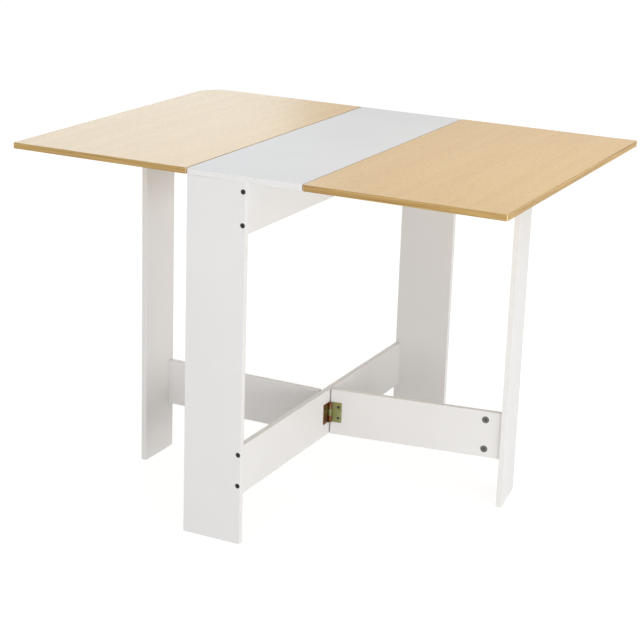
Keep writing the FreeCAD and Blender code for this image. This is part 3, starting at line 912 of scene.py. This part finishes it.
def cross_screw_profile(length):
    """Small countersunk screw with a cross recess, in millimetres."""
    head = [
        (0.0, 0.0, 1.3), (0.7, 0.4, 1.2), (1.9, 1.0, 0.05), (2.1, 1.0, 0.0),
        (2.8, 0.0, 0.0), (2.97, 0.0, 0.08), (3.0, 0.0, 0.2), (1.4, 0.0, 1.7)]
    tip = [(0.7, 0.0, length - 1.0), (0.0, 0.0, length)]
    return head + thread(2.2, length - 1.0, core=1.0, crest=1.4, pitch=1.2) + tip


def cam_profile(length):
    """Cam with a raised rim, a sunk face and a cross recess, in millimetres."""
    return [
        (0.0, 0.0, 3.2), (1.0, 0.5, 3.0), (3.6, 1.0, 1.0), (3.9, 1.0, 0.55),
        (5.9, 0.0, 0.5), (6.2, 0.0, 0.05), (7.2, 0.0, 0.0), (7.42, 0.0, 0.08), (7.5, 0.0, 0.3),
        (7.5, 0.0, length - 0.4), (7.1, 0.0, length), (0.0, 0.0, length)]


def bolt_profile(length):
    """Cam bolt: ball end, waist, collar and thread, in millimetres."""
    head = [
        (0.0, 0.0, 0.0), (1.8, 0.0, 0.1), (2.7, 0.0, 0.7), (3.0, 0.0, 1.8), (2.7, 0.0, 3.0),
        (1.8, 0.0, 3.8), (1.7, 0.0, 7.0), (2.4, 0.0, 7.4), (2.4, 0.0, length - 9.0),
        (3.0, 0.0, length - 8.6), (3.0, 0.0, length - 8.0)]
    tip = [(1.9, 0.0, length - 0.3), (0.0, 0.0, length)]
    return head + thread(length - 7.8, length - 0.6, core=2.3, crest=3.0, pitch=1.2) + tip


def dowel_profile(length):
    """Fluted dowel with chamfered ends, in millimetres."""
    return [
        (0.0, 0.0, 0.0), (2.3, 0.3, 0.0), (3.0, 1.0, 1.0),
        (3.0, 1.0, length - 1.0), (2.3, 0.3, length), (0.0, 0.0, length)]


def always(aim):
    """The same aim at every place."""
    return lambda place: aim


def away_from_middle(place):
    """Along the table's length, away from its middle."""
    return (math.copysign(1.0, place.x), 0.0, 0.0)


def gate_direction(side, across):
    """A direction of a gate, drawn along the table's length, turned with the open gate."""
    sizes = settings().sizes
    turn = sizes.left_gate_turn if side == "left" else sizes.right_gate_turn
    return Matrix.Rotation(turn, 3, "Z") @ Vector(across)


# Operators

class TABLE_OT_stage(bpy.types.Operator):
    """Sets up the floor, the soft light and the camera"""

    bl_idname = "table.stage"
    bl_label = "Stage"

    def execute(self, context):
        stage = settings().stage
        scene = context.scene
        scene.view_settings.view_transform = "Standard"
        self.make_world(scene, stage)
        self.make_floor(scene)
        powers = {
            "front": stage.front_power,
            "side": stage.side_power,
            "key": stage.key_power,
            "back": stage.back_power,
        }
        lamps = {name: self.make_light(scene, name, power) for name, power in powers.items()}
        lamps["back"].data.color = stage.back_colour
        lamps["back"].visible_glossy = True
        self.make_camera(scene, stage)
        return {"FINISHED"}

    def seen_directly(self, tree):
        """One where a ray shows the background: camera, gloss or glass."""
        path = tree.nodes.new("ShaderNodeLightPath")
        either = calculate(
            tree, "MAXIMUM", path.outputs["Is Camera Ray"], path.outputs["Is Glossy Ray"])
        return calculate(tree, "MAXIMUM", either, path.outputs["Is Transmission Ray"])

    def make_world(self, scene, stage):
        """Even light from all round that looks plain white where it is seen."""
        world = bpy.data.worlds.new("white_room")
        scene.world = world
        world.use_nodes = True
        tree = world.node_tree
        tree.nodes.clear()
        output = tree.nodes.new("ShaderNodeOutputWorld")
        background = tree.nodes.new("ShaderNodeBackground")
        background.inputs["Color"].default_value = (1.0, 1.0, 1.0, 1.0)
        level = stage.world_level
        strength = calculate(
            tree, "MULTIPLY_ADD", self.seen_directly(tree), 1.0 - level, level)
        tree.links.new(strength, background.inputs["Strength"])
        tree.links.new(background.outputs[0], output.inputs["Surface"])

    def make_floor(self, scene):
        """A pale floor that is lit to white where it is seen, apart from soft shadows."""
        mesh = bpy.data.meshes.new("floor")
        corners = ((-1, -1), (1, -1), (1, 1), (-1, 1))
        mesh.from_pydata(
            [(x * FLOOR_REACH, y * FLOOR_REACH, 0.0) for x, y in corners], [], [(0, 1, 2, 3)])
        floor = bpy.data.objects.new("floor", mesh)
        scene.collection.objects.link(floor)
        material = bpy.data.materials.new("floor_paint")
        material.use_nodes = True
        tree = material.node_tree
        tree.nodes.clear()
        output = tree.nodes.new("ShaderNodeOutputMaterial")
        paint = tree.nodes.new("ShaderNodeBsdfDiffuse")
        paint.inputs["Color"].default_value = opaque(FLOOR_PAINT)
        shown = tree.nodes.new("ShaderNodeBsdfDiffuse")
        shown.inputs["Color"].default_value = opaque(FLOOR_SHOWN)
        glow = tree.nodes.new("ShaderNodeEmission")
        glow.inputs["Strength"].default_value = FLOOR_GLOW
        bright = tree.nodes.new("ShaderNodeAddShader")
        either = tree.nodes.new("ShaderNodeMixShader")
        tree.links.new(shown.outputs[0], bright.inputs[0])
        tree.links.new(glow.outputs[0], bright.inputs[1])
        tree.links.new(self.seen_directly(tree), either.inputs[0])
        tree.links.new(paint.outputs[0], either.inputs[1])
        tree.links.new(bright.outputs[0], either.inputs[2])
        tree.links.new(either.outputs[0], output.inputs["Surface"])
        mesh.materials.append(material)

    def make_light(self, scene, name, power):
        """A soft light that neither the camera nor a gloss shows."""
        place, aim, size = SOFT_LIGHTS[name]
        light = bpy.data.lights.new(f"{name}_softbox", "AREA")
        light.shape = "RECTANGLE"
        light.size, light.size_y = size
        light.energy = power
        lamp = bpy.data.objects.new(f"{name}_softbox", light)
        scene.collection.objects.link(lamp)
        lamp.location = place
        facing = Vector(aim) - Vector(place)
        lamp.rotation_euler = facing.to_track_quat("-Z", "Y").to_euler()
        lamp.visible_camera = False
        lamp.visible_glossy = False
        return lamp

    def make_camera(self, scene, stage):
        """The camera in front of the table and to its right, looking down at it."""
        camera = bpy.data.cameras.new("camera")
        camera.sensor_width = SENSOR_WIDTH
        camera.lens = stage.camera_lens
        camera.shift_x, camera.shift_y = stage.camera_shift
        camera.clip_end = SIGHT
        viewer = bpy.data.objects.new("camera", camera)
        scene.collection.objects.link(viewer)
        heading = Matrix.Rotation(stage.camera_heading, 4, "Z")
        tilt = Matrix.Rotation(math.pi / 2 - stage.camera_dip, 4, "X")
        roll = Matrix.Rotation(stage.camera_roll, 4, "Z")
        place = Matrix.Translation(Vector(stage.camera_place))
        viewer.matrix_world = place @ heading @ tilt @ roll
        scene.camera = viewer


class TABLE_OT_centre_top(bpy.types.Operator):
    """Finishes the white centre board and its edge band"""

    bl_idname = "table.centre_top"
    bl_label = "Centre board"

    def execute(self, context):
        coat_node("centre_top", "white_melamine")
        eased_band(
            "centre_top_eased_band", "centre_top_edge_band", "white_edge_band", "white_edge_band")
        return {"FINISHED"}


class TABLE_OT_leaves(bpy.types.Operator):
    """Finishes both beech leaves and their edge bands"""

    bl_idname = "table.leaves"
    bl_label = "Leaves"

    def execute(self, context):
        for side in SIDES:
            coat_node(f"{side}_leaf", "beech_melamine")
            eased_band(
                f"{side}_leaf_eased_band", f"{side}_leaf_edge_band",
                "beech_edge_band", "band_joint_highlight")
        return {"FINISHED"}


class TABLE_OT_fixed_frame(bpy.types.Operator):
    """Makes the two fixed legs, the apron rail and the stretcher rail"""

    bl_idname = "table.fixed_frame"
    bl_label = "Fixed frame"

    def execute(self, context):
        depth = Vector((0.0, 1.0, 0.0))
        length = Vector((1.0, 0.0, 0.0))
        eased_board("front_leg_board", "front_leg", depth)
        eased_board("rear_leg_board", "rear_leg", depth)
        eased_board("apron_board", "apron_rail", length)
        eased_board("stretcher_board", "stretcher_rail", length)
        return {"FINISHED"}


class TABLE_OT_gates(bpy.types.Operator):
    """Makes the rail and the leg of both gates"""

    bl_idname = "table.gates"
    bl_label = "Gates"

    def execute(self, context):
        for side in SIDES:
            for part, across in (("rail", (0, 1, 0)), ("leg", (1, 0, 0))):
                node = f"{side}_gate_{part}"
                eased_board(f"{node}_board", node, gate_direction(side, across))
        return {"FINISHED"}


class TABLE_OT_hinges(bpy.types.Operator):
    """Finishes the plates and pins of all hinges"""

    bl_idname = "table.hinges"
    bl_label = "Hinges"

    def execute(self, context):
        for side in SIDES:
            # Fixed plates: red brown film, partly their own colour and partly a painted
            # reflection
            coat_node(f"{side}_gate_hinge_fixed_plate", "red_zinc_steel_painted_reflection")
            for part in ("moving_plate", "pin"):
                coat_node(f"{side}_gate_hinge_{part}", "yellow_zinc_steel")
            for place in ("front", "back"):
                # Centre plates: the same red brown film with its painted reflection
                coat_node(f"{side}_leaf_{place}_hinge_centre_plate", "red_zinc_steel_painted_reflection")
                for part in ("leaf_plate", "pin"):
                    coat_node(f"{side}_leaf_{place}_hinge_{part}", "yellow_zinc_steel")
        return {"FINISHED"}


class TABLE_OT_frame_screws(bpy.types.Operator):
    """Turns the socket screws of the fixed legs"""

    bl_idname = "table.frame_screws"
    bl_label = "Frame screws"

    def execute(self, context):
        for leg, aim in (("front", (0, -1, 0)), ("rear", (0, 1, 0))):
            turned_fasteners(
                f"{leg}_leg_socket_screws", f"{leg}_leg_screws", always(aim),
                socket_screw_profile, "hexagon", "dark_screw_steel", SOCKET_SCREW_SEED)
        return {"FINISHED"}


class TABLE_OT_hinge_screws(bpy.types.Operator):
    """Turns the small countersunk screws of the hinges"""

    bl_idname = "table.hinge_screws"
    bl_label = "Hinge screws"

    def execute(self, context):
        down = always((0, 0, -1))
        kinds = [("centre_top_hinge_screws", down), ("stretcher_hinge_screws", away_from_middle)]
        for side in SIDES:
            kinds.append((f"{side}_leaf_hinge_screws", down))
            kinds.append((f"{side}_gate_hinge_screws", always(gate_direction(side, (0, -1, 0)))))
        for node, aim_at in kinds:
            turned_fasteners(
                node.replace("screws", "cross_screws"), node, aim_at,
                cross_screw_profile, "cross", "dark_screw_steel", HINGE_SCREW_SEED)
        return {"FINISHED"}


class TABLE_OT_cams(bpy.types.Operator):
    """Turns the cams and their bolts"""

    bl_idname = "table.cams"
    bl_label = "Cams and bolts"

    def execute(self, context):
        kinds = [("top_cam", (-1, 0, 0), (0, 0, -1))]
        for side in SIDES:
            cam_aim = gate_direction(side, (0, -1, 0))
            bolt_aim = gate_direction(side, (-1, 0, 0))
            kinds.append((f"{side}_gate_cam", cam_aim, bolt_aim))
        for stem, cam_aim, bolt_aim in kinds:
            turned_fasteners(
                f"{stem}_castings", f"{stem}s", always(cam_aim),
                cam_profile, "cross", "bright_zinc", CAM_SEED)
            turned_fasteners(
                f"{stem}_turned_bolts", f"{stem}_bolts", always(bolt_aim),
                bolt_profile, None, "bright_zinc", CAM_BOLT_SEED)
        return {"FINISHED"}


class TABLE_OT_dowels(bpy.types.Operator):
    """Turns the fluted dowels"""

    bl_idname = "table.dowels"
    bl_label = "Dowels"

    def execute(self, context):
        turned_fasteners(
            "leg_fluted_dowels", "leg_dowels", always((0, 0, 1)),
            dowel_profile, "fluted", "dowel_wood", LEG_DOWEL_SEED)
        for side in SIDES:
            turned_fasteners(
                f"{side}_gate_fluted_dowel", f"{side}_gate_dowel",
                always(gate_direction(side, (1, 0, 0))),
                dowel_profile, "fluted", "dowel_wood", GATE_DOWEL_SEED)
        return {"FINISHED"}


class TABLE_PT_pieces(bpy.types.Panel):
    """Lists the pieces of the folding table"""

    bl_idname = "TABLE_PT_pieces"
    bl_label = "Folding table"
    bl_space_type = "VIEW_3D"
    bl_region_type = "UI"
    bl_category = "Table"

    def draw(self, context):
        column = self.layout.column(align=True)
        for piece in PIECES:
            column.operator(piece.bl_idname)
        table = settings()
        for group in (table.sizes, table.colours, table.stage):
            box = self.layout.box()
            for name in group.__annotations__:
                box.prop(group, name)


PIECES = (
    TABLE_OT_stage,
    TABLE_OT_centre_top,
    TABLE_OT_leaves,
    TABLE_OT_fixed_frame,
    TABLE_OT_gates,
    TABLE_OT_hinges,
    TABLE_OT_frame_screws,
    TABLE_OT_hinge_screws,
    TABLE_OT_cams,
    TABLE_OT_dowels,
)
GROUPS = (TableSizes, TableColours, TableStage, TableSettings)
CLASSES = GROUPS + PIECES + (TABLE_PT_pieces,)


def register():
    for each in CLASSES:
        bpy.utils.register_class(each)
    bpy.types.Scene.folding_table = PointerProperty(type=TableSettings)


def unregister():
    del bpy.types.Scene.folding_table
    for each in reversed(CLASSES):
        bpy.utils.unregister_class(each)


def main():
    register()
    bpy.ops.table.stage()
    bpy.ops.table.centre_top()
    bpy.ops.table.leaves()
    bpy.ops.table.fixed_frame()
    bpy.ops.table.gates()
    bpy.ops.table.hinges()
    bpy.ops.table.frame_screws()
    bpy.ops.table.hinge_screws()
    bpy.ops.table.cams()
    bpy.ops.table.dowels()


if __name__ == "__main__":
    main()
